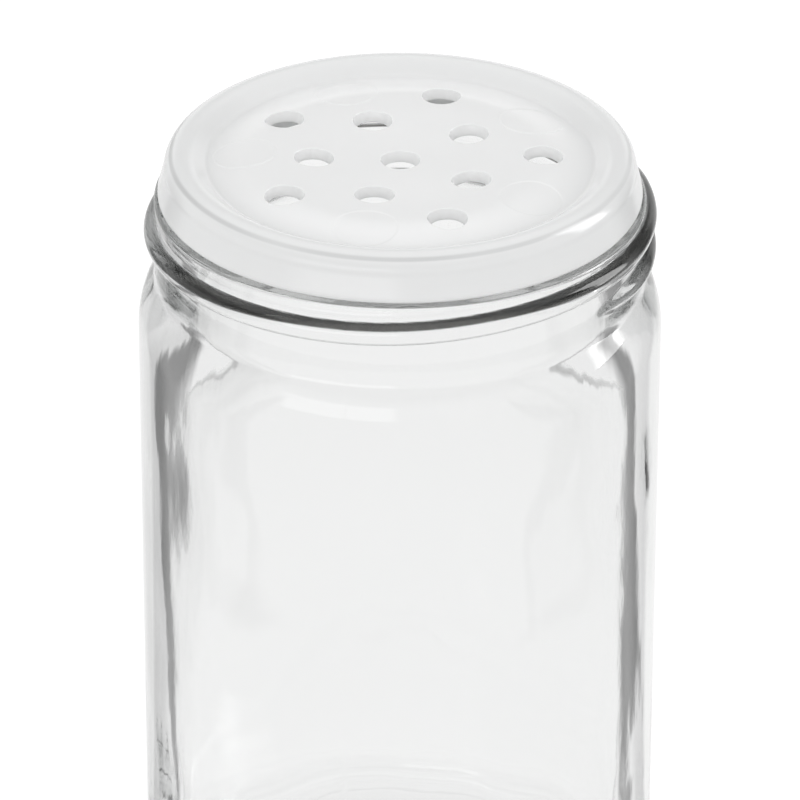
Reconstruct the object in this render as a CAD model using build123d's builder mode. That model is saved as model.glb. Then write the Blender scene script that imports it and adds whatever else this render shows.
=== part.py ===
from build123d import *
import os
from math import asin, atan2, cos, hypot, pi, radians, sin

# Spice jar: a round glass jar with a screw-threaded neck, and a moulded shaker insert over its lip.
# Millimetres. The origin is at the centre of the base, +Z is up the jar's axis and -Y faces the viewer.

# Glass jar, outside
jar_height = 96.0  # base to lip
body_diameter = 57.0
shoulder_drop = 6.3  # foot of the neck down to the full body
neck_diameter = 53.2  # at the thread's root
neck_foot_rounding = 0.8
ledge_width = 2.1  # step from the neck in to the lip
ledge_outer_rounding = 0.4
ledge_inner_rounding = 0.4
lip_height = 4.1  # of the stepped-in lip that the insert covers
lip_wall = 2.6
lip_rounding = 0.9
heel_radius = 4.5
bearing_width = 5.0  # of the flat ring that the jar stands on
base_pushup = 1.2  # how far the underside is domed up

# Glass jar, inside
mouth_depth = 10.0  # straight part of the bore
inner_shoulder_length = 30.0  # over which the bore widens to the body
body_wall = 2.8
inner_heel_radius = 6.0
base_thickness = 4.6

# Neck thread: one rounded glass bead, right handed
thread_depth = 1.15  # crest over root
thread_bead_radius = 1.35
thread_pitch = 3.75
thread_sweep = 440.0  # degrees of bead
thread_start_angle = -40.0  # lower end, from +X towards +Y
thread_ledge_gap = 0.1  # from the ledge's rounding down to the bead's upper end
thread_foot_gap = 1.3  # from the bead's lower end down to the foot of the neck
thread_fade = 28.0  # degrees over which each end sinks into the neck
thread_end_cover = 0.4  # glass over a sunk end
thread_step = 10.0  # degrees between the bead's sections

# Shaker insert
insert_running_gap = 0.15  # to the lip, inside and outside
insert_seat_gap = 0.1  # above the lip
rim_wall = 0.85  # outside the lip
rim_thickness = 1.15  # over the lip
rim_radius = 2.0  # rounding of the raised rim
deck_depth = 1.25  # crest of the rim down to the middle of the deck
deck_thickness = 1.2
deck_edge_inset = 1.0  # from the mouth's wall in to the deck's edge
deck_edge_drop = 0.2  # below the middle of the deck
deck_swell = 0.55  # the soft swell round the middle of the deck
deck_swell_inset = 5.9  # from the deck's edge in to the top of the swell
skirt_flare = 0.8  # how far the skirt's edge stands out past the rim
skirt_ledge_gap = 0.35  # from the skirt's edge down to the ledge
skirt_thickness = 0.9
skirt_edge_rounding = 0.35
plug_wall = 1.0
plug_drop = 4.6  # lip down to the plug's edge
plug_edge_rounding = 0.4
channel_rounding = 0.4  # corners of the channel that takes the lip

# Shaker holes: one in the middle and two rings
hole_top_diameter = 4.27
hole_bottom_diameter = 3.65
hole_count = 5  # in each ring
hole_edge_margin = 5.5  # from the deck's edge in to the outer ring
hole_ring_spacing = 6.1  # from the outer ring in to the inner one
pattern_turn = 1.0  # degrees, about the axis

curve_steps = 8  # spans of the deck's curves
level_band = 0.02  # height of the band that picks out the corners of one level


def corners_at(sketch, level):
    """Corners of a section that lie at one level, the nearest to the axis first."""
    band = sketch.vertices().filter_by_position(Axis.Y, level - level_band / 2, level + level_band / 2)
    return band.sort_by(Axis.X)


# Levels and radii of the glass, and the seat of the thread's bead
body_radius = body_diameter / 2
inner_radius = body_radius - body_wall
bearing_radius = body_radius - heel_radius - bearing_width
dome_radius = (bearing_radius**2 + base_pushup**2) / (2 * base_pushup)
neck_radius = neck_diameter / 2
lip_radius = neck_radius - ledge_width
mouth_radius = lip_radius - lip_wall
ledge_level = jar_height - lip_height
bead_seat = neck_radius + thread_depth - thread_bead_radius
bead_sunk = neck_radius - thread_end_cover - thread_bead_radius
bead_top = ledge_level - ledge_outer_rounding - thread_ledge_gap - thread_bead_radius
bead_bottom = bead_top - thread_pitch * thread_sweep / 360
neck_foot = bead_bottom - thread_bead_radius - thread_foot_gap
shoulder_foot = neck_foot - shoulder_drop
shoulder_step = body_radius - neck_radius
shoulder_radius = (shoulder_drop**2 + shoulder_step**2) / (2 * shoulder_step)
bore_foot = jar_height - mouth_depth
inner_shoulder_foot = bore_foot - inner_shoulder_length
handle_length = inner_shoulder_length / 3  # of the inner shoulder's S-curve

with BuildPart() as glass_jar:
    with BuildSketch(Plane.XZ) as jar_section:
        with BuildLine():
            underside = RadiusArc((0, base_pushup), (bearing_radius, 0), dome_radius)
            stand = Line(underside @ 1, (body_radius - heel_radius, 0))
            heel = RadiusArc(stand @ 1, (body_radius, heel_radius), -heel_radius)
            side = Line(heel @ 1, (body_radius, shoulder_foot))
            shoulder = RadiusArc(side @ 1, (neck_radius, neck_foot), -shoulder_radius)
            neck = Line(shoulder @ 1, (neck_radius, ledge_level))
            ledge = Line(neck @ 1, (lip_radius, ledge_level))
            lip = Line(ledge @ 1, (lip_radius, jar_height))
            crown = Line(lip @ 1, (mouth_radius, jar_height))
            bore = Line(crown @ 1, (mouth_radius, bore_foot))
            inner_shoulder = Bezier(
                bore @ 1,
                (mouth_radius, bore_foot - handle_length),
                (inner_radius, inner_shoulder_foot + handle_length),
                (inner_radius, inner_shoulder_foot),
            )
            wall = Line(inner_shoulder @ 1, (inner_radius, base_thickness + inner_heel_radius))
            inner_heel_end = (inner_radius - inner_heel_radius, base_thickness)
            inner_heel = RadiusArc(wall @ 1, inner_heel_end, inner_heel_radius)
            floor = Line(inner_heel @ 1, (0, base_thickness))
            Line(floor @ 1, underside @ 0)
        make_face()
        fillet(corners_at(jar_section, jar_height), lip_rounding)
        fillet(corners_at(jar_section, ledge_level)[0], ledge_inner_rounding)
        fillet(corners_at(jar_section, ledge_level)[-1], ledge_outer_rounding)
        fillet(corners_at(jar_section, neck_foot), neck_foot_rounding)
    revolve(axis=Axis.Z)


def bead_plane(turned):
    """Plane across the bead after some degrees; the helix's radius eases in towards both ends."""
    share = min(turned, thread_sweep - turned, thread_fade) / thread_fade
    radius = bead_sunk + (bead_seat - bead_sunk) * sin(share * pi / 2)
    angle = radians(thread_start_angle + turned)
    height = bead_bottom + thread_pitch * turned / 360
    return Plane(
        origin=(radius * cos(angle), radius * sin(angle), height),
        x_dir=(cos(angle), sin(angle), 0),
        z_dir=(-sin(angle), cos(angle), thread_pitch / (2 * pi * radius)),
    )


# The thread's bead, a circle carried along a helix
with BuildPart() as neck_thread:
    for section in range(round(thread_sweep / thread_step) + 1):
        with BuildSketch(bead_plane(section * thread_step)):
            Circle(thread_bead_radius)
    loft()
with glass_jar:
    add(neck_thread.part)

# Levels and radii of the insert, from the lip that it covers
seat_level = jar_height + insert_seat_gap
crest_level = seat_level + rim_thickness
channel_outer_radius = lip_radius + insert_running_gap
channel_inner_radius = mouth_radius - insert_running_gap
rim_outer_radius = channel_outer_radius + rim_wall
rim_centre_radius = rim_outer_radius - rim_radius
rim_centre_level = crest_level - rim_radius
skirt_bottom_radius = rim_outer_radius + skirt_flare
skirt_level = ledge_level + skirt_ledge_gap
plug_inner_radius = channel_inner_radius - plug_wall
plug_level = jar_height - plug_drop
deck_level = crest_level - deck_depth
deck_edge_radius = mouth_radius - deck_edge_inset
deck_edge_level = deck_level - deck_edge_drop
swell_radius = deck_edge_radius - deck_swell_inset
outer_ring_radius = deck_edge_radius - hole_edge_margin
inner_ring_radius = outer_ring_radius - hole_ring_spacing


def deck_top(radius):
    """Level of the deck: a squared sine rises to the swell, then a squared cosine falls to the edge."""
    if radius < swell_radius:
        return deck_level + deck_swell * sin(pi / 2 * radius / swell_radius) ** 2
    share = (radius - swell_radius) / (deck_edge_radius - swell_radius)
    return deck_edge_level + (deck_swell + deck_edge_drop) * cos(pi / 2 * share) ** 2


# The rim's inner slope is the tangent from the deck's edge to the rim's rounding
rim_offset = rim_centre_radius - deck_edge_radius
rim_lift = rim_centre_level - deck_edge_level
centre_distance = hypot(rim_offset, rim_lift)
slope_length = (centre_distance**2 - rim_radius**2) ** 0.5
slope_angle = atan2(rim_lift, rim_offset) + asin(rim_radius / centre_distance)
slope_top_radius = deck_edge_radius + slope_length * cos(slope_angle)
slope_top_level = deck_edge_level + slope_length * sin(slope_angle)
top_radii = [deck_edge_radius * step / curve_steps for step in range(curve_steps + 1)]
under_radii = [plug_inner_radius * (1 - step / curve_steps) for step in range(curve_steps + 1)]

with BuildPart() as shaker_insert:
    with BuildSketch(Plane.XZ) as insert_section:
        with BuildLine():
            deck = Spline([(radius, deck_top(radius)) for radius in top_radii])
            slope = Line(deck @ 1, (slope_top_radius, slope_top_level))
            rim_crest = (rim_centre_radius, crest_level)
            rim_outside = (rim_outer_radius, rim_centre_level)
            rim = ThreePointArc(slope @ 1, rim_crest, rim_outside)
            skirt = Line(rim @ 1, (skirt_bottom_radius, skirt_level))
            skirt_edge = Line(skirt @ 1, (skirt_bottom_radius - skirt_thickness, skirt_level))
            skirt_inside = Line(skirt_edge @ 1, (channel_outer_radius, rim_centre_level))
            channel = Line(skirt_inside @ 1, (channel_outer_radius, seat_level))
            seat = Line(channel @ 1, (channel_inner_radius, seat_level))
            plug_outside = Line(seat @ 1, (channel_inner_radius, plug_level))
            plug_edge = Line(plug_outside @ 1, (plug_inner_radius, plug_level))
            plug_top = (plug_inner_radius, deck_top(plug_inner_radius) - deck_thickness)
            Line(plug_edge @ 1, plug_top)
            under = Spline([(radius, deck_top(radius) - deck_thickness) for radius in under_radii])
            Line(under @ 1, deck @ 0)
        make_face()
        fillet(corners_at(insert_section, plug_level), plug_edge_rounding)
        fillet(corners_at(insert_section, skirt_level), skirt_edge_rounding)
        fillet(corners_at(insert_section, seat_level), channel_rounding)
    revolve(axis=Axis.Z)

    # Drafted shaker holes, cut by cones that reach past both faces of the deck
    cone_height = 2 * deck_thickness
    cone_middle_radius = (hole_top_diameter + hole_bottom_diameter) / 4
    cone_flare = (hole_top_diameter - hole_bottom_diameter) / 2
    for ring_radius, copies, start_angle in (
        (0, 1, 0),
        (inner_ring_radius, hole_count, pattern_turn + 180 / hole_count),
        (outer_ring_radius, hole_count, pattern_turn),
    ):
        with Locations((0, 0, deck_top(ring_radius) - deck_thickness / 2)):
            with PolarLocations(ring_radius, copies, start_angle=start_angle):
                Cone(
                    bottom_radius=cone_middle_radius - cone_flare,
                    top_radius=cone_middle_radius + cone_flare,
                    height=cone_height,
                    mode=Mode.SUBTRACT,
                )

os.makedirs("parts", exist_ok=True)
glass_jar.part.label = "glass_jar"
export_step(glass_jar.part, "parts/glass_jar.step")
shaker_insert.part.label = "shaker_insert"
export_step(shaker_insert.part, "parts/shaker_insert.step")
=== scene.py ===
"""Spice jar with its shaker insert: the dressed surfaces, their finishes, the light and the camera.

Shapes are in millimetres and are turned into metres only where a mesh is made. Light, floor shades and
camera are in metres. +Z is up the jar's axis and -Y faces the viewer.
"""

import math

import bmesh
import bpy
import numpy as np
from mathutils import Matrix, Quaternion, Vector
from mathutils.geometry import delaunay_2d_cdt


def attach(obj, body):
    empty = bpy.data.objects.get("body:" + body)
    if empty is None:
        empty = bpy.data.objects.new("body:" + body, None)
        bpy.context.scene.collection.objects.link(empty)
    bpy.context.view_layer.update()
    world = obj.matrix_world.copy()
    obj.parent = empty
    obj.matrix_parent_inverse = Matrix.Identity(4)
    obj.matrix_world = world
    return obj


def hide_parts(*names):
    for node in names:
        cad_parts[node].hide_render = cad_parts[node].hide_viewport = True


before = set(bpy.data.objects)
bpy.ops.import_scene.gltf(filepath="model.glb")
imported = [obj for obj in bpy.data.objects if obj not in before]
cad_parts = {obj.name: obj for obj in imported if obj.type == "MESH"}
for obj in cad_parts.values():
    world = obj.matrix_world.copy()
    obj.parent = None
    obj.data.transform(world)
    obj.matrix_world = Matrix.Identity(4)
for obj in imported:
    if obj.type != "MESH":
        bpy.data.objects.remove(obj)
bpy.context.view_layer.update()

MM = 0.001
TURN = 2 * math.pi

# Outside and mouth of the glass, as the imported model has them
BODY_RADIUS = 28.5
HEEL_RADIUS = 4.5
BEARING_RADIUS = 19.0
BASE_PUSHUP = 1.2
SHOULDER_FOOT = 76.517
NECK_FOOT = 82.817
NECK_RADIUS = 26.6
LEDGE_LEVEL = 91.9
LEDGE_ROUNDING = 0.4
LIP_RADIUS = 24.5
LIP_ROUNDING = 0.9
JAR_HEIGHT = 96.0
MOUTH_RADIUS = 21.9
BORE_FOOT = 86.0

# Hollow at the neck's foot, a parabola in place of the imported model's 0.8 rounding: the share of the
# shoulder's arc where it starts, and how far up the neck it ends
SHOULDER_SHARE = 0.92
NECK_FOOT_RUN = 0.9

# Floor and inner heel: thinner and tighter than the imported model's, which are 4.6 and 6.0 with no swell
BASE_THICKNESS = 4.2
INNER_HEEL_RADIUS = 3.5
FLOOR_SWELL = 0.25

# Mould seams, which only the scene has
SEAM_ANGLES = (78.0, 258.0)
SEAM_HEIGHT = 0.05
SEAM_WIDTH = 0.12
SEAM_FADE = (1.0, 6.0)
SEAM_INNER = 24.0

# Thread bead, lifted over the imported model's as the photograph shows it
BEAD_RADIUS = 1.35
BEAD_SEAT = 26.4
BEAD_SUNK = 24.85
BEAD_BOTTOM = 85.467
THREAD_PITCH = 3.75
THREAD_SWEEP = 440.0
THREAD_START = -40.0
THREAD_FADE = 28.0
BEAD_BLEND = 0.3
BEAD_LIFT = 0.3
BEAD_LATE_LIFT = 0.22
LATE_LIFT_START = (300.0, 340.0)
LATE_LIFT_END = (370.0, 415.0)

# Painted shade: a dark band on the bead's glass; angles are in degrees, softness and top in millimetres
BAND_FOOT = 32.0
BAND_FOOT_DROP = 24.0
BAND_DROP_SPAN = (15.0, 55.0)
BAND_SOFTNESS = 0.06
BAND_TOP_SPAN = (1.33, 1.42)

# Gap near the bead's left end where the painted shade band fades, in degrees along the thread
BAND_GAP_AT = 228.0
BAND_GAP_WIDTH = 11.0
BAND_GAP_SHARE = 0.9

# Insert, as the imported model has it
SEAT_LEVEL = 96.1
CHANNEL_OUTER = 24.65
CHANNEL_INNER = 21.75
CHANNEL_ROUNDING = 0.4
RIM_RADIUS = 2.0
RIM_CENTRE = (23.5, 95.25)
SKIRT_RADIUS = 26.3
SKIRT_LEVEL = 92.25
SKIRT_THICKNESS = 0.9
SKIRT_ROUNDING = 0.35
PLUG_INNER = 20.75
PLUG_LEVEL = 91.4
PLUG_ROUNDING = 0.4
DECK_LEVEL = 96.0
DECK_EDGE_RADIUS = 20.9
DECK_EDGE_DROP = 0.2
DECK_SWELL = 0.55
SWELL_RADIUS = 15.0
DECK_THICKNESS = 1.2
HOLE_TOP = 2.135
HOLE_BOTTOM = 1.825
HOLE_RINGS = ((0.0, 1, 0.0), (9.3, 5, 37.0), (15.4, 5, 1.0))

# Roundings of the holes' upper and lower edges
HOLE_ROUNDING = 0.1
HOLE_FOOT_ROUNDING = 0.05

# Ejector pads on the deck, which only the scene has
PAD_RADIUS = 3.4
PAD_DEPTH = 0.05
PAD_SOFTNESS = 0.08
PAD_RING = 16.8
PAD_ANGLES = (32.0, 110.9, 176.9, 257.5, 326.0)

# How finely the meshes are divided: columns round them, and points and rings on the deck
GLASS_COLUMNS = 264
SEAM_COLUMNS = (-0.8, -0.5, -0.3, -0.15, 0.0, 0.15, 0.3, 0.5, 0.8)
SEAM_COLUMN_GAP = 0.25
SHOULDER_ROWS_FOOT = 56.0
EDGE_COLUMNS = 288
HOLE_COLUMNS = 40
HOLE_RING_STEPS = (0.2, 0.45)
HOLE_LATTICE_GAP = 0.65
PAD_COLUMNS = 60
PAD_RING_STEPS = (-0.16, -0.06, 0.06, 0.16)
PAD_LATTICE_GAP = 0.3
PAD_EDGE_GAP = 0.2
LATTICE_SPACING = 0.42

# Floor plate
FLOOR_RADIUS = 4500.0
FLOOR_COLUMNS = 64

# Radiances of the room that glass and gloss show, and of the even light on the object
ROOM_WHITE = 0.95
FLAG_DARK = 0.22
SKY_LOW = 0.2
SKY_HIGH = 0.92
EVEN_LIGHT = 0.94

# Floor as the camera sees it: its glow, and the share of matt that keeps the shadow
FLOOR_GLOW = 1.25
FLOOR_MATT_SHARE = 0.35

# Dark flags: degrees off straight back for the near and far edges and for the left side's paler lead
FLAG_NEAR = (34.0, 43.0)
FLAG_FAR = (52.0, 66.0)
LEAD_SPAN = (6.0, 36.0)
LEAD_SHARE = 0.27

# Sideways distance in metres from the axis to where edge light leaves the glass
EDGE_OFFSET = 0.026

# Camera fitted to the photograph: places in metres, lens and sensor in millimetres, roll in degrees
CAMERA_PLACE = (0.0, -0.6303, 0.4132)
CAMERA_AIM = (0.00004, 0.0, 0.0665)
CAMERA_ROLL = 0.15
LENS = 294.7
SENSOR_WIDTH = 36.0

# Where the lamps point, in metres
LAMP_AIM = (0.0, 0.0, 0.085)


# Small tools

class Reading:
    """A number read from a node's socket; arithmetic on it adds Math nodes."""

    def __init__(self, tree, socket):
        self.tree = tree
        self.socket = socket

    def _math(self, operation, *values):
        node = self.tree.node("ShaderNodeMath", {"operation": operation}, dict(enumerate(values)))
        return Reading(self.tree, node.outputs[0])

    def __add__(self, other):
        return self._math("ADD", self, other)

    def __radd__(self, other):
        return self._math("ADD", other, self)

    def __sub__(self, other):
        return self._math("SUBTRACT", self, other)

    def __rsub__(self, other):
        return self._math("SUBTRACT", other, self)

    def __mul__(self, other):
        return self._math("MULTIPLY", self, other)

    def __rmul__(self, other):
        return self._math("MULTIPLY", other, self)

    def __truediv__(self, other):
        return self._math("DIVIDE", self, other)

    def bearing(self, other):
        """Angle in radians whose sine goes with this number and whose cosine goes with the other."""
        return self._math("ARCTAN2", self, other)

    def larger(self, other):
        """The larger of this number and the other."""
        return self._math("MAXIMUM", self, other)

    def eased(self, low, high):
        """0 below low and 1 above high, with a soft S between them."""
        node = self.tree.node(
            "ShaderNodeMapRange",
            {"interpolation_type": "SMOOTHSTEP"},
            {"Value": self, "From Min": low, "From Max": high},
        )
        return Reading(self.tree, node.outputs[0])


class Wiring:
    """The node tree of one finish, emptied first."""

    def __init__(self, owner):
        owner.use_nodes = True
        self.tree = owner.node_tree
        self.tree.nodes.clear()

    def node(self, kind, settings=None, sockets=None):
        """One node: its settings are set first, then its sockets' values or links."""
        made = self.tree.nodes.new(kind)
        for name, value in (settings or {}).items():
            setattr(made, name, value)
        for name, value in (sockets or {}).items():
            if isinstance(value, Reading):
                value = value.socket
            if isinstance(value, bpy.types.NodeSocket):
                self.tree.links.new(value, made.inputs[name])
            else:
                made.inputs[name].default_value = value
        return made

    def reading(self, node, output=0):
        return Reading(self, node.outputs[output])

    def object_point(self):
        return self.node("ShaderNodeTexCoord").outputs["Object"]

    def noise(self, point, scale, detail=2.0):
        sockets = {"Vector": point, "Scale": scale, "Detail": detail}
        return self.reading(self.node("ShaderNodeTexNoise", None, sockets))

    def attribute(self, name):
        """A number stored on the mesh's points."""
        return self.reading(self.node("ShaderNodeAttribute", {"attribute_name": name}), "Fac")

    def length(self, vector):
        return self.reading(
            self.node("ShaderNodeVectorMath", {"operation": "LENGTH"}, {0: vector}), "Value")

    def colour(self, share, first, second):
        """Two colours mixed by a share."""
        sockets = {"Factor": share, "A": first, "B": second}
        return self.node("ShaderNodeMix", {"data_type": "RGBA"}, sockets).outputs[2]

    def white_light(self, kind, strength):
        """An Emission or a Background of plain white."""
        return self.node(kind, None, {"Color": (1.0, 1.0, 1.0, 1.0), "Strength": strength}).outputs[0]

    def blend(self, share, first, second):
        """Two shaders mixed by a share."""
        return self.node("ShaderNodeMixShader", None, {0: share, 1: first, 2: second}).outputs[0]

    def stretched(self, point, scale):
        """The point with each axis scaled, so that a pattern is drawn out along one of them."""
        return self.node("ShaderNodeMapping", None, {"Vector": point, "Scale": scale}).outputs[0]


def make_material(name):
    """A new material and the wiring of its emptied node tree."""
    material = bpy.data.materials.new(name)
    return material, Wiring(material)


def add_piece(name, points, faces, material, smooth=True):
    """A mesh object from points in millimetres and an array or list of faces."""
    mesh = bpy.data.meshes.new(name)
    mesh.from_pydata((points * MM).tolist(), [], faces)
    mesh.validate()
    mesh.polygons.foreach_set("use_smooth", [smooth] * len(mesh.polygons))
    mesh.materials.append(material)
    mesh.update()
    piece = bpy.data.objects.new(name, mesh)
    bpy.context.scene.collection.objects.link(piece)
    return piece


def eased(value, low, high):
    """Array version of the soft S: 3t² - 2t³ of the clipped share."""
    share = np.clip((value - low) / (high - low), 0.0, 1.0)
    return share * share * (3 - 2 * share)


def line(start, end, steps):
    """Points on a straight run, without its last one."""
    share = np.arange(steps)[:, None] / steps
    return np.array(start) + share * (np.array(end) - np.array(start))


def arc(centre, radius, first, last, steps):
    """Points on a circle's arc from one angle to another in degrees, without the last one."""
    angle = np.radians(first + (last - first) * np.arange(steps) / steps)
    return np.column_stack((centre[0] + radius * np.cos(angle), centre[1] + radius * np.sin(angle)))


def flowing(knot_levels, knot_values, level):
    """A soft curve through the knots: cubic spans whose slopes are the mean of their neighbours' slopes."""
    knots = np.array(knot_levels, float)
    values = np.array(knot_values, float)
    slopes = np.gradient(values, knots)
    span = np.clip(np.searchsorted(knots, level) - 1, 0, len(knots) - 2)
    width = knots[span + 1] - knots[span]
    share = np.clip((level - knots[span]) / width, 0.0, 1.0)
    start, end = values[span], values[span + 1]
    rise, fall = slopes[span] * width, slopes[span + 1] * width
    return (
        start * (2 * share**3 - 3 * share**2 + 1)
        + rise * (share**3 - 2 * share**2 + share)
        + end * (3 * share**2 - 2 * share**3)
        + fall * (share**3 - share**2)
    )


def closed_grid_faces(rows, columns):
    """Quads of a tube of rows by columns whose columns close on themselves, outward for rows that climb."""
    row, column = np.meshgrid(np.arange(rows - 1), np.arange(columns), indexing="ij")
    after = (column + 1) % columns
    quads = np.stack((row * columns + column, row * columns + after,
                      (row + 1) * columns + after, (row + 1) * columns + column), axis=-1)
    return quads.reshape(-1, 4)


# The glass

def jar_columns():
    """Angles round the jar: even steps, and a few closer ones at the mould's seams."""
    even = np.arange(GLASS_COLUMNS) * (TURN / GLASS_COLUMNS)
    near = np.radians(np.array(SEAM_ANGLES)[:, None] + np.array(SEAM_COLUMNS)).ravel() % TURN
    away = np.min(np.abs((even[:, None] - near + math.pi) % TURN - math.pi), axis=1)
    return np.sort(np.concatenate((even[away > math.radians(SEAM_COLUMN_GAP)], near)))


def outside_profile():
    """Outer outline without the bead, from beside the underside's pole up and over the lip into the
    mouth: a parabola under the base, then straight runs and arcs."""
    dome = np.linspace(0.0, 1.0, 10)[1:-1] * BEARING_RADIUS
    underside = np.column_stack((dome, BASE_PUSHUP * (1 - (dome / BEARING_RADIUS) ** 2)))
    heel_centre = (BODY_RADIUS - HEEL_RADIUS, HEEL_RADIUS)
    step = BODY_RADIUS - NECK_RADIUS
    drop = NECK_FOOT - SHOULDER_FOOT
    shoulder_radius = (drop**2 + step**2) / (2 * step)
    shoulder_centre = (BODY_RADIUS - shoulder_radius, SHOULDER_FOOT)
    lean = math.degrees(math.asin(drop / shoulder_radius))
    lip_centre = JAR_HEIGHT - LIP_ROUNDING
    return np.concatenate((
        underside,
        line((BEARING_RADIUS, 0.0), (BODY_RADIUS - HEEL_RADIUS, 0.0), 3),
        arc(heel_centre, HEEL_RADIUS, -90, 0, 11),
        line((BODY_RADIUS, HEEL_RADIUS), (BODY_RADIUS, SHOULDER_FOOT), 18),
        arc(shoulder_centre, shoulder_radius, 0, lean * SHOULDER_SHARE, 14),
        neck_foot_curve(shoulder_centre, shoulder_radius, lean),
        line((NECK_RADIUS, NECK_FOOT + NECK_FOOT_RUN), (NECK_RADIUS, LEDGE_LEVEL - LEDGE_ROUNDING), 88),
        arc((NECK_RADIUS - LEDGE_ROUNDING, LEDGE_LEVEL - LEDGE_ROUNDING), LEDGE_ROUNDING, 0, 90, 5),
        line((NECK_RADIUS - LEDGE_ROUNDING, LEDGE_LEVEL), (LIP_RADIUS + LEDGE_ROUNDING, LEDGE_LEVEL), 2),
        arc((LIP_RADIUS + LEDGE_ROUNDING, LEDGE_LEVEL + LEDGE_ROUNDING), LEDGE_ROUNDING, 270, 180, 5),
        line((LIP_RADIUS, LEDGE_LEVEL + LEDGE_ROUNDING), (LIP_RADIUS, lip_centre), 4),
        arc((LIP_RADIUS - LIP_ROUNDING, lip_centre), LIP_ROUNDING, 0, 90, 7),
        line((LIP_RADIUS - LIP_ROUNDING, JAR_HEIGHT), (MOUTH_RADIUS + LIP_ROUNDING, JAR_HEIGHT), 2),
        arc((MOUTH_RADIUS + LIP_ROUNDING, lip_centre), LIP_ROUNDING, 90, 180, 7),
    ))


def neck_foot_curve(shoulder_centre, shoulder_radius, lean):
    """The hollow where shoulder and neck meet: a parabola that leaves both as their tangent."""
    angle = math.radians(lean * SHOULDER_SHARE)
    start = np.array((shoulder_centre[0] + shoulder_radius * math.cos(angle),
                      shoulder_centre[1] + shoulder_radius * math.sin(angle)))
    corner = np.array((NECK_RADIUS, start[1] + (start[0] - NECK_RADIUS) / math.tan(angle)))
    end = np.array((NECK_RADIUS, NECK_FOOT + NECK_FOOT_RUN))
    share = np.arange(9)[:, None] / 9
    return start * (1 - share) ** 2 + corner * 2 * share * (1 - share) + end * share**2


def inside_levels():
    """Levels of the rows down the inside, from the lip's rounding to the inner heel."""
    mouth = np.linspace(JAR_HEIGHT - LIP_ROUNDING, BORE_FOOT, 7)[:-1]
    shoulder = np.linspace(BORE_FOOT, SHOULDER_ROWS_FOOT, 31)[:-1]
    wall = np.linspace(SHOULDER_ROWS_FOOT, BASE_THICKNESS + INNER_HEEL_RADIUS, 50)
    return np.concatenate((mouth, shoulder, wall))


# Levels and radii of the inner wall, worked back from where the photograph shows its tangent line and
# then corrected by 0.5 mm by trial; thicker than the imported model's even 2.8 mm
LEFT_WALL = (
    (7.0, 14.0, 22.0, 30.0, 36.0, 42.0, 48.0, 54.0, 60.0, 66.0, 71.0, 76.0, 81.0, 86.0, 96.0),
    (24.7, 24.8, 24.9, 24.9, 24.75, 24.47, 24.17, 23.87, 23.62, 23.42, 23.0, 22.5, 22.05, 21.9, 21.9),
)
RIGHT_WALL = (
    (7.0, 14.0, 22.0, 30.0, 36.0, 42.0, 48.0, 54.0, 58.0, 63.0, 67.0, 72.0, 79.0, 86.0, 96.0),
    (24.6, 24.65, 24.7, 24.72, 24.55, 24.25, 23.95, 23.65, 23.45, 23.35, 23.25, 22.85, 22.2, 21.9, 21.9),
)

# Long low waves of the inner wall: height, number round the jar, twist in radians per mm, start
WAVES = (
    (0.07, 5, 0.045, 0.7),
    (0.05, 9, -0.06, 2.1),
    (0.03, 17, 0.11, 0.0),
    (0.03, 3, 0.35, 0.0),
)


def inside_radius(level, angle):
    """Radius of the inner wall: the left and right sides' own curves, eased into each other round
    the jar by a cosine, plus a sum of sines that fades out up the shoulder."""
    right = 0.5 + 0.5 * np.cos(angle)
    base = right * flowing(*RIGHT_WALL, level) + (1 - right) * flowing(*LEFT_WALL, level)
    body = 1 - eased(level, 66.0, 84.0)
    waves = sum(height * np.sin(count * angle + twist * level + start)
                for height, count, twist, start in WAVES)
    return base + body * waves


def bead_surface(level, angle):
    """Neck's radius with the bead, and the share of painted shade on the bead's glass there. Each strand is
    a circle on a helix that sinks in at both ends, joined to the neck by a smooth maximum. The painted
    shade, a dark band, runs from its upper foot down to a slope that steepens towards the viewer's side,
    but for a bell-shaped gap where it fades."""
    outer = np.full(np.broadcast(level, angle).shape, NECK_RADIUS)
    dark = np.zeros(outer.shape)
    from_front = np.abs((np.degrees(angle) + 90 + 180) % 360 - 180)
    foot = BAND_FOOT - BAND_FOOT_DROP * eased(from_front, *BAND_DROP_SPAN)
    lowest = BEAD_RADIUS * np.sin(np.radians(foot))
    for lap in (0, 1):
        turned = (np.degrees(angle) - THREAD_START) % 360 + 360 * lap
        share = np.clip(np.minimum(turned, THREAD_SWEEP - turned) / THREAD_FADE, 0.0, 1.0)
        centre = BEAD_SUNK + (BEAD_SEAT - BEAD_SUNK) * np.sin(share * math.pi / 2)
        late = eased(turned, *LATE_LIFT_START) * (1 - eased(turned, *LATE_LIFT_END))
        lift = BEAD_LIFT + BEAD_LATE_LIFT * late
        off = level - (BEAD_BOTTOM + THREAD_PITCH * turned / 360 + lift)
        strand = centre + np.sqrt(np.maximum(BEAD_RADIUS**2 - off**2, 0.0))
        strand = np.where(np.abs(off) < BEAD_RADIUS, strand, 0.0)
        gap = np.clip((strand - outer) / BEAD_BLEND, -1.0, 1.0)
        blend = BEAD_BLEND / 4 * (1 - np.abs(gap)) ** 2
        outer = np.maximum(outer, strand) + blend
        # The band is painted shade on the glass, not the glass's own colour
        band = eased(off, lowest - BAND_SOFTNESS, lowest + BAND_SOFTNESS)
        band = band * (1 - eased(off, *BAND_TOP_SPAN))
        band_gap = 1 - BAND_GAP_SHARE * np.exp(-((turned - BAND_GAP_AT) / BAND_GAP_WIDTH) ** 2)
        dark = np.maximum(dark, band * share * band_gap)
    return outer, dark


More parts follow.
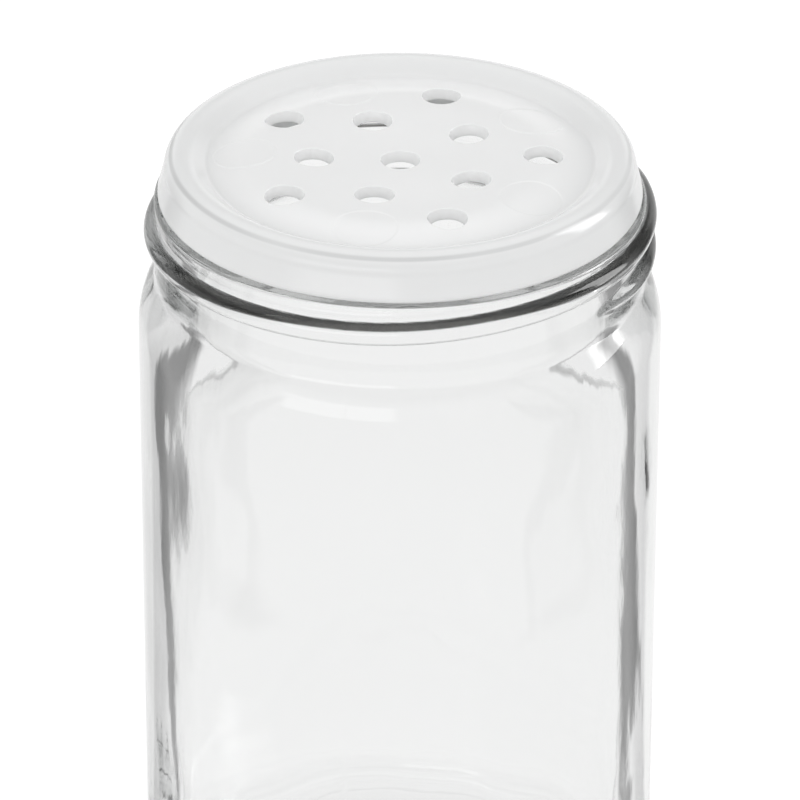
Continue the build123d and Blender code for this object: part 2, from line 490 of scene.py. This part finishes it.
def seam_ridge(angle):
    """Height of the mould's seams: a low bell-shaped ridge over the distance from each seam."""
    away = np.min(
        np.abs((angle[:, None] - np.radians(SEAM_ANGLES) + math.pi) % TURN - math.pi), axis=1
    ) * BODY_RADIUS
    return SEAM_HEIGHT * np.exp(-((away / SEAM_WIDTH) ** 2))


def make_glass(material):
    """Outside, lip and inside as one closed grid of radius and level over angle, with a pole at the
    underside's middle and one at the floor's middle."""
    angle = jar_columns()
    columns = len(angle)
    outside = outside_profile()
    radius = np.repeat(outside[:, :1], columns, axis=1)
    level = np.repeat(outside[:, 1:], columns, axis=1)
    neck = np.abs(outside[:, 0] - NECK_RADIUS) < 1e-6
    neck &= outside[:, 1] < LEDGE_LEVEL
    beaded, dark = bead_surface(level[neck], np.broadcast_to(angle, level[neck].shape))
    radius[neck] = beaded
    shade = np.zeros(level.shape, np.float32)
    shade[neck] = dark
    seamed = (outside[:, 1] > SEAM_FADE[0]) & (outside[:, 1] < LEDGE_LEVEL - 0.1)
    seamed &= outside[:, 0] > SEAM_INNER
    radius[seamed] += seam_ridge(angle) * eased(outside[seamed, 1], *SEAM_FADE)[:, None]

    inner_level = inside_levels()
    inner_radius = inside_radius(inner_level[:, None], angle[None, :])
    inner_radius[inner_level > BORE_FOOT] = MOUTH_RADIUS
    turn = np.radians(np.linspace(0, 90, 11)[1:])[:, None]
    heel_foot = inner_radius[-1:]
    heel_radius = heel_foot - INNER_HEEL_RADIUS * (1 - np.cos(turn))
    heel_level = BASE_THICKNESS + INNER_HEEL_RADIUS * (1 - np.sin(turn))
    heel_level = np.repeat(heel_level, columns, axis=1)
    share = np.linspace(1.0, 0.0, 10)[1:-1][:, None]
    floor_radius = heel_radius[-1:] * share
    floor_level = BASE_THICKNESS + FLOOR_SWELL * (1 - share**2) + np.zeros((1, columns))

    radius = np.concatenate((radius, inner_radius, heel_radius, floor_radius))
    level = np.concatenate((level, np.repeat(inner_level[:, None], columns, axis=1), heel_level,
                            floor_level))
    grid = np.stack((radius * np.cos(angle), radius * np.sin(angle), level), axis=-1)
    rows = len(grid)
    poles = np.array(((0.0, 0.0, BASE_PUSHUP), (0.0, 0.0, BASE_THICKNESS + FLOOR_SWELL)))
    points = np.concatenate((grid.reshape(-1, 3), poles))
    first, last = rows * columns, rows * columns + 1
    ring = np.arange(columns)
    after = (ring + 1) % columns
    top = (rows - 1) * columns
    faces = closed_grid_faces(rows, columns).tolist()
    faces += np.column_stack((np.full(columns, first), after, ring)).tolist()
    faces += np.column_stack((np.full(columns, last), top + ring, top + after)).tolist()
    piece = add_piece("jar_glass", points, faces, material)
    inner = np.zeros(len(points), np.float32)
    inner[len(outside) * columns:rows * columns] = 1.0
    inner[last] = 1.0
    piece.data.attributes.new("inner_face", "FLOAT", "POINT").data.foreach_set("value", inner)
    dark = np.zeros(len(points), np.float32)
    dark[:shade.size] = shade.ravel()
    piece.data.attributes.new("bead_shade", "FLOAT", "POINT").data.foreach_set("value", dark)
    return piece


# The insert

def deck_top(radius):
    """Level of the deck's top: a squared sine up to the swell, then a squared cosine down to the edge."""
    inner = DECK_LEVEL + DECK_SWELL * np.sin(math.pi / 2 * radius / SWELL_RADIUS) ** 2
    share = np.clip((radius - SWELL_RADIUS) / (DECK_EDGE_RADIUS - SWELL_RADIUS), 0.0, 1.0)
    edge = DECK_LEVEL - DECK_EDGE_DROP
    outer = edge + (DECK_SWELL + DECK_EDGE_DROP) * np.cos(math.pi / 2 * share) ** 2
    return np.where(radius < SWELL_RADIUS, inner, outer)


def on_ring(centre, radius, count, first=0.0):
    """Points at even steps on a circle, from a first angle in radians."""
    angle = first + np.arange(count) * (TURN / count)
    return np.column_stack((centre[0] + radius * np.cos(angle), centre[1] + radius * np.sin(angle)))


def hole_centres():
    """Middles of the holes: one on the axis and five on each of two rings."""
    spots = [
        on_ring((0.0, 0.0), ring, count, math.radians(first)) for ring, count, first in HOLE_RINGS
    ]
    return np.concatenate(spots)


def pad_centres():
    """Middles of the pads, at their own angles on one ring."""
    angle = np.radians(PAD_ANGLES)
    return PAD_RING * np.column_stack((np.cos(angle), np.sin(angle)))


def deck_sheet(edge_radius, hole_radius, with_pads):
    """Points and triangles of the deck seen from above: rings of points about the axis and about each
    hole and pad, joined by a Delaunay triangulation, less the triangles inside the holes."""
    holes = hole_centres()
    rings = [on_ring((0.0, 0.0), edge_radius, EDGE_COLUMNS)]
    rings += [on_ring(centre, hole_radius, HOLE_COLUMNS) for centre in holes]
    close = [
        on_ring(centre, hole_radius + step, HOLE_COLUMNS) for centre in holes for step in HOLE_RING_STEPS
    ]
    middles = pad_centres() if with_pads else []
    pads = [
        on_ring(centre, PAD_RADIUS + step, PAD_COLUMNS) for centre in middles for step in PAD_RING_STEPS
    ]
    lattice = [np.zeros((1, 2))]
    for ring in np.arange(LATTICE_SPACING, edge_radius - LATTICE_SPACING * 0.6, LATTICE_SPACING):
        count = int(round(TURN * ring / LATTICE_SPACING))
        lattice.append(on_ring((0.0, 0.0), ring, count, ring * 2.4))
    lattice = np.concatenate(lattice)
    keep = np.ones(len(lattice), bool)
    for centre in holes:
        keep &= np.hypot(*(lattice - centre).T) > hole_radius + HOLE_LATTICE_GAP
    for centre in middles:
        keep &= np.abs(np.hypot(*(lattice - centre).T) - PAD_RADIUS) > PAD_LATTICE_GAP
    pads = [ring[np.hypot(*ring.T) < edge_radius - PAD_EDGE_GAP] for ring in pads]
    points = np.concatenate((*rings, *close, *pads, lattice[keep]))
    spots = [Vector(point) for point in points.tolist()]
    joined = delaunay_2d_cdt(spots, [], [], 0, 1e-5)
    verts = np.array([tuple(vert) for vert in joined[0]])
    faces = np.array(joined[2])
    middle = verts[faces].mean(axis=1)
    outside = np.ones(len(faces), bool)
    for centre in holes:
        outside &= np.hypot(*(middle - centre).T) > hole_radius * 0.995
    return verts, faces[outside]


def pad_relief(points):
    """Height of the pads left by the ejector pins: each a flat disc a hair below the deck."""
    height = np.zeros(len(points))
    for centre in pad_centres():
        away = np.hypot(*(points - centre).T)
        height -= PAD_DEPTH * (1 - eased(away, PAD_RADIUS - PAD_SOFTNESS, PAD_RADIUS + PAD_SOFTNESS))
    return height


def rim_profile():
    """Outline from the deck's edge over the rim, down the skirt, up its inside, over the channel and
    round the plug to the underside's edge: straight runs and arcs, with the skirt's edge rounded by
    circles that touch both its leaning sides."""
    edge = (DECK_EDGE_RADIUS, DECK_LEVEL - DECK_EDGE_DROP)
    across, lift = RIM_CENTRE[0] - edge[0], RIM_CENTRE[1] - edge[1]
    distance = math.hypot(across, lift)
    slope = math.atan2(lift, across) + math.asin(RIM_RADIUS / distance)
    length = math.sqrt(distance**2 - RIM_RADIUS**2)
    slope_top = (edge[0] + length * math.cos(slope), edge[1] + length * math.sin(slope))
    rim_start = math.degrees(slope) + 90
    round_off = SKIRT_ROUNDING
    skirt_inner = SKIRT_RADIUS - SKIRT_THICKNESS
    drop = RIM_CENTRE[1] - SKIRT_LEVEL
    flare = math.atan2(SKIRT_RADIUS - RIM_CENTRE[0] - RIM_RADIUS, drop)
    lean = math.atan2(skirt_inner - CHANNEL_OUTER, drop)
    foot = SKIRT_LEVEL + round_off
    outer_centre = (SKIRT_RADIUS - round_off * (math.tan(flare) + 1 / math.cos(flare)), foot)
    inner_centre = (skirt_inner - round_off * (math.tan(lean) - 1 / math.cos(lean)), foot)
    outer_touch = (outer_centre[0] + round_off * math.cos(flare), foot + round_off * math.sin(flare))
    inner_touch = (inner_centre[0] - round_off * math.cos(lean), foot - round_off * math.sin(lean))
    corner = CHANNEL_ROUNDING
    plug_round = PLUG_ROUNDING
    underside = deck_top(np.array(PLUG_INNER)) - DECK_THICKNESS
    return np.concatenate((
        line(edge, slope_top, 5),
        arc(RIM_CENTRE, RIM_RADIUS, rim_start, 0, 26),
        line((RIM_CENTRE[0] + RIM_RADIUS, RIM_CENTRE[1]), outer_touch, 8),
        arc(outer_centre, round_off, math.degrees(flare), -90, 5),
        line((outer_centre[0], SKIRT_LEVEL), (inner_centre[0], SKIRT_LEVEL), 1),
        arc(inner_centre, round_off, -90, math.degrees(lean) - 180, 5),
        line(inner_touch, (CHANNEL_OUTER, RIM_CENTRE[1]), 6),
        line((CHANNEL_OUTER, RIM_CENTRE[1]), (CHANNEL_OUTER, SEAT_LEVEL - corner), 2),
        arc((CHANNEL_OUTER - corner, SEAT_LEVEL - corner), corner, 0, 90, 5),
        line((CHANNEL_OUTER - corner, SEAT_LEVEL), (CHANNEL_INNER + corner, SEAT_LEVEL), 4),
        arc((CHANNEL_INNER + corner, SEAT_LEVEL - corner), corner, 90, 180, 5),
        line((CHANNEL_INNER, SEAT_LEVEL - corner), (CHANNEL_INNER, PLUG_LEVEL + plug_round), 8),
        arc((CHANNEL_INNER - plug_round, PLUG_LEVEL + plug_round), plug_round, 0, -90, 5),
        arc((PLUG_INNER + plug_round, PLUG_LEVEL + plug_round), plug_round, -90, -180, 5),
        line((PLUG_INNER, PLUG_LEVEL + plug_round), (PLUG_INNER, float(underside)), 6),
        np.array(((PLUG_INNER, float(underside)),)),
    ))


def hole_profile():
    """Distances from a hole's axis and heights over the deck's top, round the top edge, down the
    drafted wall and round the lower edge."""
    lower = HOLE_FOOT_ROUNDING
    top = arc((HOLE_TOP + HOLE_ROUNDING, -HOLE_ROUNDING), HOLE_ROUNDING, 90, 180, 7)
    wall = line((HOLE_TOP, -HOLE_ROUNDING), (HOLE_BOTTOM, lower - DECK_THICKNESS), 6)
    foot = arc((HOLE_BOTTOM + lower, lower - DECK_THICKNESS), lower, 180, 270, 3)
    end = np.array(((HOLE_BOTTOM + lower, -DECK_THICKNESS),))
    return np.concatenate((top, wall, foot, end))


def make_insert(material):
    """Deck and underside from two flat triangulations lifted to the deck's curve, the holes' walls and
    the turned rim, skirt and plug as grids, welded into one closed shell."""
    parts, faces, start = [], [], 0

    def keep(points, made):
        nonlocal start
        parts.append(points)
        faces.extend((np.asarray(made) + start).tolist())
        start += len(points)

    flat, triangles = deck_sheet(DECK_EDGE_RADIUS, HOLE_TOP + HOLE_ROUNDING, True)
    away = np.hypot(*flat.T)
    keep(np.column_stack((flat, deck_top(away) + pad_relief(flat))), triangles)
    flat, triangles = deck_sheet(PLUG_INNER, HOLE_BOTTOM + HOLE_FOOT_ROUNDING, False)
    away = np.hypot(*flat.T)
    keep(np.column_stack((flat, deck_top(away) - DECK_THICKNESS)), triangles[:, ::-1])

    profile = hole_profile()
    angle = np.arange(HOLE_COLUMNS) * (TURN / HOLE_COLUMNS)
    for centre in hole_centres():
        x = centre[0] + profile[:, :1] * np.cos(angle)
        y = centre[1] + profile[:, :1] * np.sin(angle)
        z = deck_top(np.hypot(x, y)) + profile[:, 1:]
        grid = np.stack((x, y, z), axis=-1).reshape(-1, 3)
        keep(grid, closed_grid_faces(len(profile), HOLE_COLUMNS)[:, ::-1])

    profile = rim_profile()
    angle = np.arange(EDGE_COLUMNS) * (TURN / EDGE_COLUMNS)
    x, y = profile[:, :1] * np.cos(angle), profile[:, :1] * np.sin(angle)
    z = np.repeat(profile[:, 1:], EDGE_COLUMNS, axis=1)
    grid = np.stack((x, y, z), axis=-1).reshape(-1, 3)
    keep(grid, closed_grid_faces(len(profile), EDGE_COLUMNS)[:, ::-1])
    piece = add_piece("insert_moulding", np.concatenate(parts), faces, material)
    weld(piece, 0.004)
    return piece


def weld(piece, distance):
    """Joins points that lie together, turns every face outwards and prints what is left open."""
    shell = bmesh.new()
    shell.from_mesh(piece.data)
    bmesh.ops.remove_doubles(shell, verts=shell.verts, dist=distance * MM)
    bmesh.ops.recalc_face_normals(shell, faces=shell.faces)
    open_edges = sum(1 for edge in shell.edges if len(edge.link_faces) != 2)
    print(piece.name, "faces", len(shell.faces), "open edges", open_edges, "volume mm3",
          round(shell.calc_volume(signed=True) / MM**3, 1))
    shell.to_mesh(piece.data)
    shell.free()
    piece.data.update()


# Finishes

def clear_glass():
    """Clear pressed glass: a faint waviness outside, an orange-peel grain inside, painted shade on the bead
    where it shows a dark band, and a faint loss of light with depth."""
    material, wiring = make_material("clear_glass")
    drawn_down = wiring.stretched(wiring.object_point(), (1.0, 1.0, 0.3))
    inside = wiring.attribute("inner_face")
    grain = wiring.noise(drawn_down, 700.0)
    swell = wiring.noise(drawn_down, 160.0)
    height = inside * (grain * 0.01 + swell * 0.1) + (1 - inside) * swell * 0.006
    bump = wiring.node("ShaderNodeBump", None, {"Strength": 1.0, "Distance": MM, "Height": height})
    # Near-black where bead_shade is set: painted shade on the thread, not a tint of the glass
    tone = wiring.colour(
        wiring.attribute("bead_shade"), (0.998, 1.0, 0.999, 1.0), (0.012, 0.012, 0.011, 1.0))
    shader = wiring.node("ShaderNodeBsdfPrincipled", None, {
        "Base Color": tone,
        "Roughness": 0.0,
        "IOR": 1.52,
        "Transmission Weight": 1.0,
        "Normal": bump.outputs[0],
    })
    depth = wiring.node(
        "ShaderNodeVolumeAbsorption", None, {"Color": (0.0, 0.02, 0.01, 1.0), "Density": 8.5})
    wiring.node("ShaderNodeOutputMaterial", None, {
        "Surface": shader.outputs[0], "Volume": depth.outputs[0]})
    return material


def milky_plastic():
    """Translucent milky plastic: most of the light scatters, some passes through blurred. The rim and
    the skirt carry painted shade that makes them a little greyer than the deck, and a patchy line of
    painted shade runs round the rim's outer shoulder in place of a crease."""
    material, wiring = make_material("milky_plastic")
    point = wiring.object_point()
    cloud = wiring.noise(point, 220.0, 3.0)
    fine = wiring.noise(point, 1400.0)
    bump = wiring.node("ShaderNodeBump", None, {
        "Strength": 1.0, "Distance": MM, "Height": cloud * 0.02 + fine * 0.0012})
    level = wiring.reading(wiring.node("ShaderNodeSeparateXYZ", None, {0: point}), 2) / MM
    flat = wiring.node("ShaderNodeVectorMath", {"operation": "MULTIPLY"}, {0: point, 1: (1.0, 1.0, 0.0)})
    away = wiring.length(flat.outputs[0]) / MM
    patch = wiring.noise(point, 45.0, 1.0).eased(0.35, 0.7)
    # Painted shade: a patchy grey line round the rim's outer shoulder, standing in for a crease in shade
    painted_crease_shade = level.eased(96.55, 96.75) * (1 - level.eased(96.85, 97.08)) * away.eased(24.2, 24.6)
    tone = wiring.colour(cloud, (0.93, 0.935, 0.935, 1.0), (0.95, 0.955, 0.955, 1.0))
    # Painted shade: the rim and the skirt a little greyer than the deck, for how the light falls on them
    tone = wiring.colour(away.eased(17.0, 23.0), tone, (0.865, 0.87, 0.87, 1.0))
    tone = wiring.colour(painted_crease_shade * (patch * 0.7 + 0.3), tone, (0.6, 0.605, 0.605, 1.0))
    shader = wiring.node("ShaderNodeBsdfPrincipled", None, {
        "Base Color": tone,
        "Roughness": 0.14,
        "IOR": 1.49,
        "Transmission Weight": 0.12,
        "Subsurface Weight": 0.35,
        "Subsurface Radius": (1.0, 1.0, 1.0),
        "Subsurface Scale": 0.0008,
        "Normal": bump.outputs[0],
    })
    wiring.node("ShaderNodeOutputMaterial", None, {"Surface": shader.outputs[0]})
    return material


def flags(side, back, offset):
    """Share of the two dark flags behind the jar, left and right, that draw the glass's edge lines: 1
    from 43 to 52 degrees off straight back, with soft edges. On the left a paler shade leads up to
    it. The offset is how far to the side of the axis the light leaves the glass."""
    spans = (FLAG_NEAR, FLAG_FAR, LEAD_SPAN)
    near, far, lead = ([math.radians(end) for end in span] for span in spans)
    away = side.larger(0 - side) - offset
    off = away.bearing(back)
    outer = 1 - off.eased(*far)
    left = (0 - side).eased(0.0, 0.02)
    paler = off.eased(*lead) * left * LEAD_SHARE
    return off.eased(*near).larger(paler) * outer


def table_top():
    """Pale floor. The camera sees it white with the jar's shadow; the glass shows it white, but for two
    dark flags behind the jar."""
    material, wiring = make_material("table_top")
    point = wiring.object_point()
    path = wiring.node("ShaderNodeLightPath")
    seen = wiring.reading(path, "Is Camera Ray")
    mirrored = wiring.reading(path, "Is Glossy Ray").larger(wiring.reading(path, "Is Transmission Ray"))
    spot = wiring.node("ShaderNodeSeparateXYZ", None, {0: point})
    flag = flags(wiring.reading(spot, 0), wiring.reading(spot, 1), EDGE_OFFSET)
    flag = flag * wiring.length(point).eased(0.02, 0.05)
    white = wiring.white_light("ShaderNodeEmission", ROOM_WHITE)
    room = wiring.blend(flag, white, wiring.white_light("ShaderNodeEmission", FLAG_DARK))
    matt = wiring.node("ShaderNodeBsdfDiffuse", None, {"Color": (0.8, 0.8, 0.8, 1.0)}).outputs[0]
    glow = wiring.white_light("ShaderNodeEmission", FLOOR_GLOW)
    lit = wiring.blend(seen, matt, wiring.blend(FLOOR_MATT_SHARE, glow, matt))
    wiring.node("ShaderNodeOutputMaterial", None, {"Surface": wiring.blend(mirrored, lit, room)})
    return material


# Soft windows that the glass and the plastic mirror: bearing from the viewer's side and height, both
# from and to in degrees, and radiance
WINDOWS = (
    (-50.0, -2.0, -1.0, 14.0, 2.2),
    (92.0, 112.0, -3.0, 45.0, 6.0),
)


def make_room(strength):
    """World: plain even light for the object, pure white for the camera, and a room for what glass and
    gloss show. The room is white low down but for the two dark flags, has a dim band over that and a
    bright ceiling, and a few soft windows. Light that has scattered comes from the even part alone."""
    world = bpy.data.worlds.new("studio")
    bpy.context.scene.world = world
    wiring = Wiring(world)
    direction = wiring.node("ShaderNodeTexCoord").outputs["Generated"]
    parts = wiring.node("ShaderNodeSeparateXYZ", None, {0: direction})
    side, ahead, height = (wiring.reading(parts, number) for number in range(3))
    turn = side.bearing(0 - ahead)
    path = wiring.node("ShaderNodeLightPath")
    seen = wiring.reading(path, "Is Camera Ray")
    mirrored = wiring.reading(path, "Is Glossy Ray").larger(wiring.reading(path, "Is Transmission Ray"))
    scattered = wiring.reading(path, "Diffuse Depth").eased(0.0, 1.0)

    def sky(radiance):
        return wiring.white_light("ShaderNodeBackground", radiance)

    dimmed = flags(side, ahead, 0.0).larger(height.eased(0.2, 0.45))
    wall = wiring.blend(dimmed, sky(ROOM_WHITE), sky(SKY_LOW))
    room = wiring.blend(height.eased(0.5, 0.8), wall, sky(SKY_HIGH))
    soft, level_soft = math.radians(2.5), 0.03
    for first, last, bottom, top, radiance in WINDOWS:
        first, last = math.radians(first), math.radians(last)
        bottom, top = math.sin(math.radians(bottom)), math.sin(math.radians(top))
        across = turn.eased(first - soft, first + soft) * (1 - turn.eased(last - soft, last + soft))
        over = height.eased(bottom - level_soft, bottom + level_soft)
        under = 1 - height.eased(top - level_soft, top + level_soft)
        room = wiring.blend(across * over * under, room, sky(radiance))
    shown = wiring.blend(seen, sky(strength), sky(1.0))
    mixed = wiring.blend(mirrored * (1 - scattered), shown, room)
    wiring.node("ShaderNodeOutputWorld", None, {"Surface": mixed})


def make_floor():
    """A round flat floor about the jar."""
    ring = on_ring((0.0, 0.0), FLOOR_RADIUS, FLOOR_COLUMNS)
    points = np.column_stack((ring, np.zeros(FLOOR_COLUMNS)))
    floor = add_piece("floor", points, [list(range(FLOOR_COLUMNS))], table_top(), smooth=False)


def softbox(name, azimuth, elevation, distance, width, height, radiance):
    """A soft lamp turned to the jar's neck. Its power gives the face the radiance that is named."""
    lamp = bpy.data.lights.new(name, "AREA")
    lamp.shape = "RECTANGLE"
    lamp.size, lamp.size_y = width, height
    lamp.energy = radiance * width * height * math.pi
    side, up = math.radians(azimuth), math.radians(elevation)
    back = Vector((math.sin(side) * math.cos(up), -math.cos(side) * math.cos(up), math.sin(up)))
    holder = bpy.data.objects.new(name, lamp)
    holder.location = Vector(LAMP_AIM) + back * distance
    holder.rotation_mode = "QUATERNION"
    holder.rotation_quaternion = (-back).to_track_quat("-Z", "Y")
    holder.visible_camera = False
    holder.visible_glossy = False
    holder.visible_transmission = False
    bpy.context.scene.collection.objects.link(holder)


def make_camera():
    """The photograph's view: a long lens, 29 degrees above the horizon, with a slight roll."""
    eye = bpy.data.cameras.new("viewer")
    eye.lens = LENS
    eye.sensor_width = SENSOR_WIDTH
    eye.clip_start, eye.clip_end = 0.01, 20.0
    holder = bpy.data.objects.new("viewer", eye)
    place = Vector(CAMERA_PLACE)
    holder.location = place
    holder.rotation_mode = "QUATERNION"
    roll = Quaternion((0.0, 0.0, 1.0), math.radians(CAMERA_ROLL))
    holder.rotation_quaternion = (Vector(CAMERA_AIM) - place).to_track_quat("-Z", "Y") @ roll
    bpy.context.scene.collection.objects.link(holder)
    bpy.context.scene.camera = holder


make_camera()

jar_glass = make_glass(clear_glass())
weld(jar_glass, 0.0001)
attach(jar_glass, "jar")
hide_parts("glass_jar")

insert_moulding = make_insert(milky_plastic())
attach(insert_moulding, "insert")
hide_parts("shaker_insert")

make_floor()
make_room(EVEN_LIGHT)
softbox("left_softbox", -35.0, 28.0, 1.4, 0.7, 0.5, 1.6)
softbox("right_softbox", 62.0, 18.0, 1.3, 0.25, 0.6, 2.2)
softbox("back_softbox", 180.0, 50.0, 1.5, 0.8, 0.4, 1.2)

bpy.context.scene.view_settings.view_transform = "Standard"
cycles = bpy.context.scene.cycles
cycles.max_bounces = 40
cycles.transmission_bounces = 40
cycles.glossy_bounces = 40
cycles.diffuse_bounces = 24
